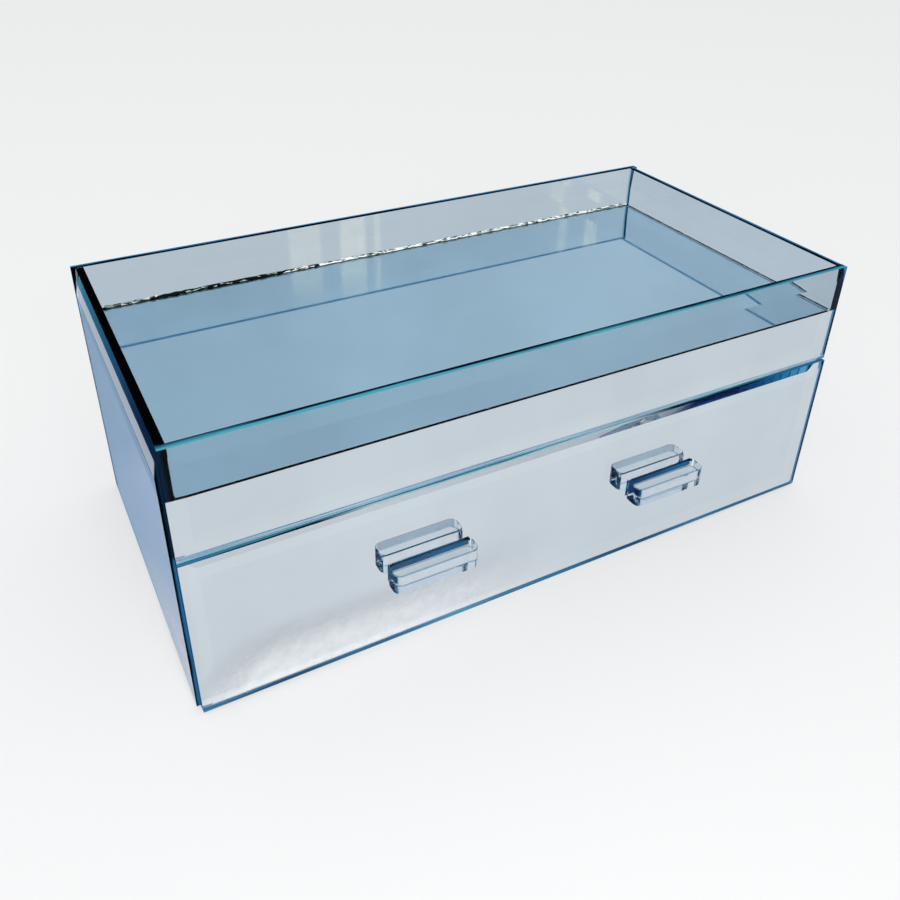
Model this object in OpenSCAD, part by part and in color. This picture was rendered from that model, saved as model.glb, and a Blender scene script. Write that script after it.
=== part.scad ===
// Mirrored jewellery box: an open glass tray over one full-width drawer.
// Millimetres, +Z up, +X right, +Y to the back. The drawer opens towards -Y.
// The origin is on the table, under the middle of the glass walls.

/* [Overall] */
// Width across the outer faces of the side panes
box_w = 300; // [220:1:420]
// Depth from the fascia's face to the back pane's outer face
box_d = 152.5; // [110:0.5:240]
// Height of the rim above the table
box_h = 118.5; // [104:0.5:180]
// Gap between the table and the lower edges of the panes
foot_gap = 0.8; // [0.4:0.1:1.2]

/* [Glass] */
// Thickness of the side and back panes
wall_glass_t = 5; // [4:0.5:8]
// Thickness of the fascia and of the drawer's glass
front_glass_t = 4; // [3:0.5:6]
// Width of the bevel along the top of the side and back panes
wall_bevel_w = 12; // [4:0.5:16]
// Width of the bevel round the fascia and the drawer's glass
front_bevel_w = 6.5; // [3:0.5:12]
// Angle of the bevels to the face of a pane
bevel_angle = 8.5; // [4:0.5:12]
// How far the front panes stop short of the side panes' outer faces
front_inset = 1.5; // [0:0.1:3]
// Thickness of the silver coat with its backing paint
silver_t = 0.3; // [0.2:0.05:0.6]

/* [Tray] */
// Height of the clear wall above the tray's mirror
tray_wall_h = 20.7; // [12:0.1:32]
// Height of the silvered band of the fascia, from the tray's surface down
fascia_band_h = 25; // [18:0.5:36]
// Clear strip of the walls between the tray's surface and the silver coat
clear_seam = 1; // [0.4:0.1:2]
// Thickness of the tray's mirror
tray_mirror_t = 4; // [3:0.5:6]
// Thickness of the board under the tray's mirror
tray_board_t = 4; // [3:0.5:7]
// Room between the edges of the tray's mirror and the walls
tray_gap = 0.2; // [0.1:0.1:0.6]
// Size of the glue bead along the back of the tray
rear_bead_w = 1.6; // [0.8:0.1:3]
// Size of the glue beads along the front and the sides of the tray
edge_bead_w = 0.8; // [0.4:0.1:1.6]

/* [Case boards] */
// Thickness of the boards that line the walls beside and behind the drawer
liner_t = 4; // [3:0.5:8]
// Thickness of the rail behind the fascia
rail_t = 8; // [5:0.5:15]
// Height of the rail's lower face above the fascia's lower edge
rail_lift = 1; // [0.5:0.1:3]
// Thickness of the base board
base_board_t = 5; // [3:0.5:8]
// Thickness of the felt under the base board
felt_t = 1.5; // [1.2:0.1:3]
// How far the felt stops short of the base board's edges
felt_inset = 4; // [1:0.5:12]
// Thickness of the felt strips that the drawer slides on
glide_t = 1; // [0.5:0.1:2]
// Width of the felt strips that the drawer slides on
glide_w = 10; // [5:0.5:20]
// How far the felt strips start behind the front of the base board
glide_setback = 3; // [1:0.5:10]

/* [Drawer] */
// Gap between the drawer's glass and the fascia
front_gap = 0.8; // [0.5:0.1:1.5]
// Room between the shut drawer's glass and the front ends of the side panes
shut_gap = 0.8; // [0.7:0.1:1.5]
// Room between the drawer box and the liner on each side
side_room = 0.8; // [0.4:0.1:2]
// Room between the drawer box and the felt strips under it
glide_room = 0.2; // [0.1:0.1:0.5]
// Room between the top of the drawer box and the fascia's lower edge
top_room = 3; // [1.5:0.5:8]
// Room between the shut drawer's back and the rear liner
rear_room = 1.5; // [0.5:0.5:5]
// Thickness of the board behind the drawer's glass
front_board_t = 6; // [4:0.5:10]
// Thickness of the drawer's sides and back
drawer_side_t = 5; // [3:0.5:9]
// Thickness of the drawer's bottom
drawer_bottom_t = 3; // [2:0.5:6]

/* [Lining] */
// Thickness of the velvet cards on the drawer's walls
card_t = 1.5; // [1:0.1:3]
// How far the cards stop below the top of the drawer box
card_drop = 2; // [1:0.5:8]
// Thickness of the velvet pad on the drawer's bottom
pad_t = 4; // [2:0.5:8]
// Room round the velvet pad
pad_room = 0.3; // [0.1:0.1:1]

/* [Pulls] */
// Length of each glass pull
pull_l = 36; // [20:0.5:60]
// How far each glass pull stands out
pull_d = 8.5; // [6:0.5:16]
// Height of each glass pull
pull_h = 9.2; // [5:0.1:14]
// Distance between the middles of the two pulls
pull_spacing = 112.5; // [70:0.5:160]
// How far the pulls stand above the middle of the drawer's glass
pull_lift = 1.7; // [-12:0.1:12]
// Radius of each pull's upright corners at the front
pull_front_r = 3.2; // [0.5:0.1:3.2]
// Radius of each pull's upright corners at the back
pull_back_r = 2.5; // [0.5:0.1:2.6]
// Chamfer along each pull's long front edges
pull_chamfer = 0.5; // [0.2:0.1:2]
// Thickness of the clear glue behind each pull
bond_t = 0.2; // [0.1:0.05:0.5]
// How far the clear glue stops short of the pull's flat back
bond_inset = 0.4; // [0.1:0.1:1]

/* [Hidden] */
$fn = 48;
// Overlap that keeps cutting shapes clear of the faces they pass
cut_over = 1;

// Levels of the case, from the table up
base_top = felt_t + base_board_t;
tray_z = box_h - tray_wall_h;
silver_top = tray_z - clear_seam;
tray_silver_z = tray_z - tray_mirror_t - silver_t;
tray_board_z = tray_silver_z - tray_board_t;
fascia_z = tray_z - fascia_band_h;
rail_z = fascia_z + rail_lift;

// Faces of the case across the width, as distances from the middle
pane_in_x = box_w / 2 - wall_glass_t;
liner_out_x = pane_in_x - silver_t;
liner_in_x = liner_out_x - liner_t;

// Faces of the case from front to back
fascia_y = -box_d / 2;
walls_front_y = fascia_y + front_glass_t;
boards_front_y = walls_front_y + silver_t;
back_in_y = box_d / 2 - wall_glass_t;
boards_back_y = back_in_y - silver_t;
bay_back_y = boards_back_y - liner_t;

// Faces of the drawer
front_w = box_w - 2 * front_inset;
drawer_glass_y = fascia_y - shut_gap;
drawer_silver_y = drawer_glass_y + front_glass_t;
drawer_board_y = drawer_silver_y + silver_t;
drawer_in_front_y = drawer_board_y + front_board_t;
drawer_back_y = bay_back_y - rear_room;
drawer_in_back_y = drawer_back_y - drawer_side_t;
drawer_out_x = liner_in_x - side_room;
drawer_in_x = drawer_out_x - drawer_side_t;
drawer_z = base_top + glide_t + glide_room;
drawer_floor_z = drawer_z + drawer_bottom_t;
drawer_top = fascia_z - top_room;
drawer_glass_top = fascia_z - front_gap;
card_h = drawer_top - card_drop - drawer_floor_z;
pull_z = (foot_gap + drawer_glass_top) / 2 + pull_lift;
pull_back_y = drawer_glass_y - bond_t;

// Colours as the photograph shows them
glass_color = [0.60, 0.74, 0.80, 0.55];
silver_color = [0.78, 0.82, 0.86];
board_color = [0.20, 0.19, 0.19];
velvet_color = [0.13, 0.14, 0.18];
felt_color = [0.10, 0.10, 0.11];
bead_color = [0.35, 0.45, 0.45];

// A block given by its low and high corners
module block(low, high) {
    translate(low) cube(high - low);
}

// Section of a front pane: flat back on the axis, both front edges bevelled
module front_section(width) {
    edge_t = front_glass_t - front_bevel_w * tan(bevel_angle);
    polygon([
        [-width / 2, 0],
        [width / 2, 0],
        [width / 2, edge_t],
        [width / 2 - front_bevel_w, front_glass_t],
        [-width / 2 + front_bevel_w, front_glass_t],
        [-width / 2, edge_t]
    ]);
}

// A front pane on its lower edge, bevelled all round, with its face towards -Y and its back at y = 0
module front_pane(height) {
    intersection() {
        translate([0, 0, -cut_over])
            linear_extrude(height + 2 * cut_over)
            mirror([0, 1, 0])
            front_section(front_w);
        translate([-front_w / 2 - cut_over, 0, height / 2])
            rotate([90, 0, 90])
            linear_extrude(front_w + 2 * cut_over)
            rotate(90)
            front_section(height);
    }
}

// A side or back pane on its lower edge, bevelled along the top, with its outer face towards -Y
// and its inner face at y = 0
module wall_pane(width) {
    height = box_h - foot_gap;
    edge_t = wall_glass_t - wall_bevel_w * tan(bevel_angle);
    translate([-width / 2, 0, 0])
        rotate([90, 0, 90])
        linear_extrude(width)
        polygon([
            [0, 0],
            [0, height],
            [-edge_t, height],
            [-wall_glass_t, height - wall_bevel_w],
            [-wall_glass_t, 0]
        ]);
}

// A pane between the fascia and the back pane, on the side given by -1 (left) or 1 (right)
module side_pane(side) {
    color(glass_color)
        translate([side * pane_in_x, (walls_front_y + back_in_y) / 2, foot_gap])
        rotate(side * 90)
        wall_pane(back_in_y - walls_front_y);
}

// A slab between two distances from the middle, on the side given by -1 (left) or 1 (right)
module side_block(side, near_x, far_x, low_yz, high_yz) {
    x_low = side < 0 ? -far_x : near_x;
    x_high = side < 0 ? -near_x : far_x;
    block([x_low, low_yz[0], low_yz[1]], [x_high, high_yz[0], high_yz[1]]);
}

// A three-cornered bead along +X from the origin, in the corner between a floor and a wall behind it
module glue_bead(length, size) {
    rotate([90, 0, 90])
        linear_extrude(length)
        polygon([[0, 0], [0, size], [-size, 0]]);
}

// A bead along a side wall of the tray
module side_bead(side) {
    run = back_in_y - walls_front_y - rear_bead_w - edge_bead_w;
    start_y = side < 0 ? walls_front_y + edge_bead_w : back_in_y - rear_bead_w;
    color(bead_color)
        translate([side * pane_in_x, start_y, tray_z])
        rotate(-side * 90)
        glue_bead(run, edge_bead_w);
}

module left_side_pane() { side_pane(-1); }
module right_side_pane() { side_pane(1); }

module back_pane() {
    color(glass_color)
        translate([0, back_in_y, foot_gap])
        rotate(180)
        wall_pane(box_w);
}

module front_fascia_pane() {
    color(glass_color)
        translate([0, walls_front_y, fascia_z])
        front_pane(box_h - fascia_z);
}

// The silver coat of a side pane
module side_silver(side) {
    color(silver_color)
        side_block(side, liner_out_x, pane_in_x, [walls_front_y, foot_gap], [back_in_y, silver_top]);
}

module left_silver() { side_silver(-1); }
module right_silver() { side_silver(1); }

module back_silver() {
    color(silver_color)
        block([-liner_out_x, boards_back_y, foot_gap], [liner_out_x, back_in_y, silver_top]);
}

module fascia_silver() {
    color(silver_color)
        block([-liner_out_x, walls_front_y, fascia_z], [liner_out_x, boards_front_y, silver_top]);
}

// A layer of the tray's floor between two levels
module tray_layer(z_low, z_high, room) {
    block(
        [-liner_out_x + room, boards_front_y + room, z_low],
        [liner_out_x - room, boards_back_y - room, z_high]
    );
}

module tray_mirror() { color(glass_color) tray_layer(tray_z - tray_mirror_t, tray_z, tray_gap); }
module tray_silver() { color(silver_color) tray_layer(tray_silver_z, tray_z - tray_mirror_t, tray_gap); }
module tray_board() { color(board_color) tray_layer(tray_board_z, tray_silver_z, 0); }

module rear_bead() {
    color(bead_color)
        translate([-pane_in_x, back_in_y, tray_z])
        glue_bead(2 * pane_in_x, rear_bead_w);
}

module front_bead() {
    color(bead_color)
        translate([pane_in_x, walls_front_y, tray_z])
        rotate(180)
        glue_bead(2 * pane_in_x, edge_bead_w);
}

module left_bead() { side_bead(-1); }
module right_bead() { side_bead(1); }

// A board beside the drawer, standing on the base board under the tray's board
module side_liner(side) {
    color(board_color)
        side_block(side, liner_in_x, liner_out_x, [boards_front_y, base_top], [boards_back_y, tray_board_z]);
}

module left_liner() { side_liner(-1); }
module right_liner() { side_liner(1); }

module rear_liner() {
    color(board_color)
        block([-liner_in_x, bay_back_y, base_top], [liner_in_x, boards_back_y, tray_board_z]);
}

module front_rail() {
    color(board_color)
        block([-liner_in_x, boards_front_y, rail_z], [liner_in_x, boards_front_y + rail_t, tray_board_z]);
}

module base_board() {
    color(board_color)
        block([-liner_out_x, boards_front_y, felt_t], [liner_out_x, boards_back_y, base_top]);
}

module base_felt() {
    color(felt_color)
        block(
            [-liner_out_x + felt_inset, boards_front_y + felt_inset, 0],
            [liner_out_x - felt_inset, boards_back_y - felt_inset, felt_t]
        );
}

// A felt strip under one side of the drawer
module glide(side) {
    color(felt_color)
        side_block(
            side, liner_in_x - glide_w, liner_in_x,
            [boards_front_y + glide_setback, base_top],
            [bay_back_y, base_top + glide_t]
        );
}

module left_glide() { glide(-1); }
module right_glide() { glide(1); }

module drawer_glass() {
    color(glass_color)
        translate([0, drawer_silver_y, foot_gap])
        front_pane(drawer_glass_top - foot_gap);
}

module drawer_silver() {
    color(silver_color)
        block([-front_w / 2, drawer_silver_y, foot_gap], [front_w / 2, drawer_board_y, drawer_glass_top]);
}

module drawer_front_board() {
    color(board_color)
        block([-drawer_out_x, drawer_board_y, drawer_z], [drawer_out_x, drawer_in_front_y, drawer_top]);
}

// One long wall of the drawer box
module drawer_side(side) {
    color(board_color)
        side_block(
            side, drawer_in_x, drawer_out_x,
            [drawer_in_front_y, drawer_z],
            [drawer_back_y, drawer_top]
        );
}

module drawer_left_side() { drawer_side(-1); }
module drawer_right_side() { drawer_side(1); }

module drawer_back() {
    color(board_color)
        block([-drawer_in_x, drawer_in_back_y, drawer_z], [drawer_in_x, drawer_back_y, drawer_top]);
}

module drawer_bottom() {
    color(board_color)
        block([-drawer_in_x, drawer_in_front_y, drawer_z], [drawer_in_x, drawer_in_back_y, drawer_floor_z]);
}

module lining_floor() {
    inset = card_t + pad_room;
    color(velvet_color)
        block(
            [-drawer_in_x + inset, drawer_in_front_y + inset, drawer_floor_z],
            [drawer_in_x - inset, drawer_in_back_y - inset, drawer_floor_z + pad_t]
        );
}

// A velvet card on one long wall of the drawer
module side_card(side) {
    color(velvet_color)
        side_block(
            side, drawer_in_x - card_t, drawer_in_x,
            [drawer_in_front_y, drawer_floor_z],
            [drawer_in_back_y, drawer_floor_z + card_h]
        );
}

// A velvet card across the drawer, from the given y towards the back
module cross_card(y) {
    half = drawer_in_x - card_t;
    color(velvet_color)
        block([-half, y, drawer_floor_z], [half, y + card_t, drawer_floor_z + card_h]);
}

module lining_left() { side_card(-1); }
module lining_right() { side_card(1); }
module lining_front() { cross_card(drawer_in_front_y); }
module lining_back() { cross_card(drawer_in_back_y - card_t); }

// Plan of a pull: its back on the axis, all four corners rounded
module pull_plan() {
    front_x = pull_l / 2 - pull_front_r;
    back_x = pull_l / 2 - pull_back_r;
    front_y = -pull_d + pull_front_r;
    translate([-front_x, -pull_d]) square([2 * front_x, pull_d - pull_back_r]);
    translate([-pull_l / 2, front_y]) square([pull_l, -pull_back_r - front_y]);
    translate([-back_x, front_y]) square([2 * back_x, -front_y]);
    for (side = [-1, 1]) {
        translate([side * front_x, front_y]) circle(pull_front_r);
        translate([side * back_x, -pull_back_r]) circle(pull_back_r);
    }
}

// Upright section of a pull, in y and z, with both front edges chamfered
module pull_section() {
    half = pull_h / 2;
    polygon([
        [0, -half],
        [0, half],
        [-pull_d + pull_chamfer, half],
        [-pull_d, half - pull_chamfer],
        [-pull_d, -half + pull_chamfer],
        [-pull_d + pull_chamfer, -half]
    ]);
}

module pull(side) {
    color(glass_color)
        translate([side * pull_spacing / 2, pull_back_y, pull_z])
        intersection() {
            translate([0, 0, -pull_h / 2 - cut_over])
                linear_extrude(pull_h + 2 * cut_over)
                pull_plan();
            translate([-pull_l / 2 - cut_over, 0, 0])
                rotate([90, 0, 90])
                linear_extrude(pull_l + 2 * cut_over)
                pull_section();
        }
}

module left_pull() { pull(-1); }
module right_pull() { pull(1); }

module pull_bonds() {
    half_l = pull_l / 2 - pull_back_r - bond_inset;
    half_h = pull_h / 2 - bond_inset;
    for (side = [-1, 1])
        color(glass_color)
            translate([side * pull_spacing / 2, 0, pull_z])
            block([-half_l, pull_back_y, -half_h], [half_l, drawer_glass_y, half_h]);
}

left_side_pane();
right_side_pane();
back_pane();
front_fascia_pane();
left_silver();
right_silver();
back_silver();
fascia_silver();
tray_mirror();
tray_silver();
tray_board();
rear_bead();
left_bead();
right_bead();
front_bead();
left_liner();
right_liner();
rear_liner();
front_rail();
base_board();
base_felt();
left_glide();
right_glide();
drawer_glass();
drawer_silver();
drawer_front_board();
drawer_left_side();
drawer_right_side();
drawer_back();
drawer_bottom();
lining_floor();
lining_left();
lining_right();
lining_front();
lining_back();
left_pull();
right_pull();
pull_bonds();
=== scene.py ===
import math
import random

import bmesh
import bpy
from mathutils import Matrix, Vector, noise


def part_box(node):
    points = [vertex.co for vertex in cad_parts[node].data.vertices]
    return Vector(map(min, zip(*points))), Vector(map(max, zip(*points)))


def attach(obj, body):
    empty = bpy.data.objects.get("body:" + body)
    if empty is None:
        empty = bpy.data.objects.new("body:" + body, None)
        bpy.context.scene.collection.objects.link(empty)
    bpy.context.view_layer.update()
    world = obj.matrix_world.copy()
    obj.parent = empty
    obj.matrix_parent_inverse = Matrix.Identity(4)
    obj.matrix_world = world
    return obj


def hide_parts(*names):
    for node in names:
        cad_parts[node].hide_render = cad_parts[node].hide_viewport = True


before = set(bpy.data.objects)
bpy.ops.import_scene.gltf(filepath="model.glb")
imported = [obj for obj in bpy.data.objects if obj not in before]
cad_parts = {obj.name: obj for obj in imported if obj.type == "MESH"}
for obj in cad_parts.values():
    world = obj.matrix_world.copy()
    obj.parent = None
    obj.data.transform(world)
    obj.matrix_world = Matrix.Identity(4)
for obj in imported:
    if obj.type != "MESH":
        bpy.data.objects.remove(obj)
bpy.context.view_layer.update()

MM = 0.001

# Camera, fitted to the edges of the box in the photograph
CAMERA_AT = (-178.92 * MM, -311.67 * MM, 282.58 * MM)
CAMERA_TURN = (59.128, -0.613, -27.898)
CAMERA_LENS = 36.547
CAMERA_SHIFT = (0.0120, -0.0926)

# The floor: its paint, the even tone seen of it, the share of that tone that the camera and mirrors see, and
# how far it reaches
FLOOR_COLOUR = (0.86, 0.865, 0.87)
FLOOR_SEEN = (0.90, 0.905, 0.91)
FLOOR_GLOW = 0.5
FLOOR_MIRRORED = 0.95
FLOOR_REACH = 6.0
# The sky as mirrors and glass see it, from left to right, and the even one that lights things
SKY_LEFT = (0.78, 0.84, 0.88)
SKY_RIGHT = (0.97, 0.97, 0.97)
SKY_LIGHT = (0.8, 0.8, 0.8)
# The dark part behind the camera: its share of the sky's light, from and to in degrees to the right of -Y,
# how softly it starts and ends, and the sines of the heights at which it fades in and out
SKY_BEHIND = 0.3
SKY_DARK = (0.0, 46.0)
SKY_DARK_SOFT = 4.0
SKY_DARK_IN, SKY_DARK_OUT = (0.22, 0.26), (0.42, 0.46)
# Bright windows at the same height: from and to in degrees, and strength. Then the blur of their sides, in
# degrees too, and their colour
WINDOWS = ((18.1, 20.2, 5.5), (21.5, 23.2, 7.5), (23.8, 24.2, 6.0), (36.1, 36.6, 5.0), (37.8, 38.6, 7.0))
WINDOW_SOFT = 0.12
WINDOW_COLOUR = (1.0, 0.62, 0.28)
# The glowing grey card behind the box and on its right, a painted shadow of the box on the floor as the glass
# shows it: its colour, height and borders, where it is full inside them, and the depth over which it fades in
# next to the box
SHADOW_CARD_COLOUR = (0.515, 0.595, 0.66)
CARD_Z = 0.5 * MM
CARD_LEFT_X, CARD_RIGHT_X, CARD_FRONT_Y, CARD_BACK_Y, CARD_FAR = -0.24, 0.155, -0.08, 0.08, 1.6
CARD_FULL_X, CARD_FULL_Y, CARD_FULL_FAR = -0.14, 0.0, 1.2
CARD_NEAR = 0.03
# Name, place, point aimed at, size and power of each lamp
LAMPS = (
    ("key", (-1.60, -2.10, 1.50), (0.0, 0.0, 0.0), 1.6, 46.0),
    ("front", (-0.12, -0.34, 0.32), (-0.06, -0.13, 0.0), 0.05, 0.28),
)

# Bounces of light off mirrors and glass, and through clear glue
MIRROR_BOUNCES, CLEAR_BOUNCES = 40, 24

# Glass: its index, the roughness of smears, the share let through at each face, and the tint of what a face
# mirrors from outside and from inside the glass
IOR = 1.5
SMEAR = 0.012
PULL_SMEAR = 0.006
WALL_THROUGH = (0.972, 0.985, 0.992)
WALL_OUTSIDE = (0.325, 0.485, 0.66)
WALL_INSIDE = (0.46, 0.54, 0.74)
BACK_OUTSIDE = (0.95, 0.95, 0.92)
BACK_INSIDE = (0.15, 0.19, 0.25)
BEVEL_OUTSIDE = (0.85, 0.93, 1.0)
FRONT_THROUGH = (0.963, 0.978, 0.988)
FRONT_BEVEL_THROUGH = (0.98, 0.993, 1.0)
FRONT_OUTSIDE = (0.04, 0.055, 0.07)
FRONT_BEVEL_OUTSIDE = (0.14, 0.18, 0.22)
FRONT_INSIDE = (0.48, 0.88, 0.98)
FRONT_BACK = (0.10, 0.14, 0.18)
PULL_THROUGH = (0.98, 0.99, 1.0)
PULL_OUTSIDE = (0.22, 0.27, 0.32)
PULL_INSIDE = (0.96, 0.985, 1.0)
ARRIS_THROUGH = (0.62, 0.80, 0.90)
TRAY_OUTSIDE = (0.46, 0.56, 0.70)
# Tones of the strip under a wall's rim, from front to back: painted refraction in what it mirrors
RIM_TONES = [(0.1, (0.012, 0.05, 0.15)), (0.5, (0.04, 0.22, 0.46)), (0.95, (0.08, 0.40, 0.55))]

# Clear glue: its tint, a painted shade where it is met edge on inside a pull, and behind the corner of two
# walls
BOND_CLEAR = (0.985, 0.99, 1.0)
GLUE_PAINTED_SHADE = (0.004, 0.012, 0.03)
END_BOND = (0.35, 0.42, 0.55)

# Films of dust: colours, and least and greatest shares
# The bevel's film is dust tinted sky blue, partly a painted reflection of the sky
BEVEL_DUST_AND_SKY = (0.52, 0.67, 0.95)
BEVEL_DUST_AND_SKY_SHARE = (0.15, 0.21)
# The drawer's pale film is dust, and also a painted bright glow low on its left
DRAWER_DUST_AND_GLOW = (0.93, 0.95, 0.97)
DRAWER_DUST_AND_GLOW_SHARE = (0.38, 0.52)
WALL_DUST = (0.85, 0.76, 0.71)
WALL_DUST_SHARE = (0.0, 0.42)
# The side walls' dust goes by y plus this much of z: none from the first place on, and all at the second
WALL_DUST_LEAN = 1.6
WALL_DUST_REACH = (0.04, -0.06)
# The drawer's dust and painted glow start on a slant, at x less this much of z, and fade over x and, up and
# down, over z
DRAWER_DUST_AND_GLOW_LEAN = 0.78
DRAWER_DUST_AND_GLOW_START = (-0.158, -0.136)
DRAWER_DUST_AND_GLOW_X = (0.03, -0.09)
DRAWER_DUST_AND_GLOW_UP, DRAWER_DUST_AND_GLOW_DOWN = (0.032, 0.012), (0.0025, 0.0045)

# Ground edges of the walls, from outside and from within: black glass edges with a blue line painted in for
# what refraction shows
WALL_EDGE_BLACK, WALL_EDGE_BLUE = (0.0006, 0.0008, 0.0012), (0.022, 0.15, 0.33)
WALL_EDGE_WITHIN = [(0.3, (0.035, 0.27, 0.44)), (0.7, (0.07, 0.37, 0.58))]
# Ground edges of the front panes, with lines painted in for what refraction shows in them: tones by share of
# their depth, along their front line, and on their upright ends
FASCIA_EDGE = [(0.0, (0.07, 0.29, 0.36)), (0.30, (0.035, 0.145, 0.18)), (0.55, (0.008, 0.08, 0.15)),
               (0.72, (0.001, 0.004, 0.008))]
FASCIA_LINE = [(0.1, (0.06, 0.30, 0.42)), (0.6, (0.07, 0.31, 0.37)), (1.0, (0.05, 0.26, 0.44))]
FASCIA_ENDS = [(0.1, (0.001, 0.003, 0.008)), (0.5, (0.004, 0.02, 0.06)), (0.9, (0.001, 0.003, 0.008))]
DRAWER_EDGE = [(0.44, (0.05, 0.27, 0.42)), (0.66, (0.07, 0.32, 0.46)), (1.0, (0.008, 0.08, 0.15))]
DRAWER_LINE = [(0.03, (0.02, 0.14, 0.28)), (0.08, (0.002, 0.008, 0.02)), (0.17, (0.002, 0.008, 0.02)),
               (0.24, (0.42, 0.64, 0.74)), (0.62, (0.42, 0.66, 0.76)), (0.70, (0.003, 0.01, 0.02)),
               (0.84, (0.003, 0.012, 0.03)), (0.92, (0.03, 0.20, 0.40))]
DRAWER_ENDS = [(0.1, (0.03, 0.20, 0.40)), (0.4, (0.02, 0.13, 0.30)), (0.8, (0.002, 0.008, 0.02))]
# The same edges from within: long ones, upright ones, and one that mirrors
LONG_WITHIN = [(0.38, (0.004, 0.04, 0.10)), (0.50, (0.025, 0.18, 0.36)), (0.64, (0.13, 0.42, 0.62))]
UPRIGHT_WITHIN = [(0.36, (0.03, 0.17, 0.40)), (0.6, (0.16, 0.42, 0.72))]
MIRROR_WITHIN = [(0.36, (0.05, 0.22, 0.36)), (0.48, (0.42, 0.66, 0.80)), (0.60, (0.86, 0.95, 1.0))]

# Silver coats, seen through their glass
WALL_SILVER = (0.84, 0.86, 0.95)
FRONT_SILVER = (0.765, 0.80, 0.84)
FASCIA_SILVER = (0.73, 0.77, 0.81)
# The tray's silver is tinted blue: a painted reflection of the blue sky it mirrors
TRAY_SILVER_SKY_TINT = (0.375, 0.54, 0.655)

# Forms repeated from the solids, in metres, but for the slope of the fronts' bevels and the pulls' arrises
FOOT = 0.8 * MM
BEVEL_SLOPE = math.tan(math.radians(8.5))
WALL_BEVEL = 12 * MM
FRONT_BEVEL = 6.5 * MM
FRONT_SLOPE = math.tan(math.radians(8.25))
PULL_FRONT_R = 3.2 * MM
PULL_BACK_R = 2.5 * MM
PULL_CHAMFER = 0.4 * MM
# The clear glue under a pull also fills the back of its round rear corners, this many steps of each
GLUE_STEPS = 6
CORNER_STEPS = 10
GLUE_INSET = PULL_BACK_R * (1 - math.sin(math.radians(90 * GLUE_STEPS / CORNER_STEPS)))
# Height of the dark line of painted shade along the top of the glue, as it is met from inside the bar
GLUE_LINE = 3.0 * MM
# Where the walls' edges lie: inner and outer x of the side walls, inner y and depth of the back wall's edge,
# half the length of a side wall's rim, and the y at which its front end gives way to the rest
SIDE_IN_X, SIDE_OUT_X = 0.145, 0.150
BACK_IN_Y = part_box("back_pane")[0][1]
BACK_EDGE = 5 * MM
WALL_HALF_Y = 0.07
WALL_FRONT_Y = (-0.0720, -0.0715)
# Where the front panes' edges lie: half their length, the x at which an upright end starts, and their depth
FRONT_HALF_X = 0.15
FRONT_END_X = (0.1482, 0.1484)
FRONT_EDGE = 2.9 * MM
# Height of the gap over the drawer, and of the part of the fascia's edge that mirrors above it
GAP_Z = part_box("front_fascia_pane")[0][2]
GAP_MIRROR = 1.5 * MM
# Air between two pieces of glass that meet, so that no two faces lie in one plane
AIR = 0.04 * MM


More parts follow.
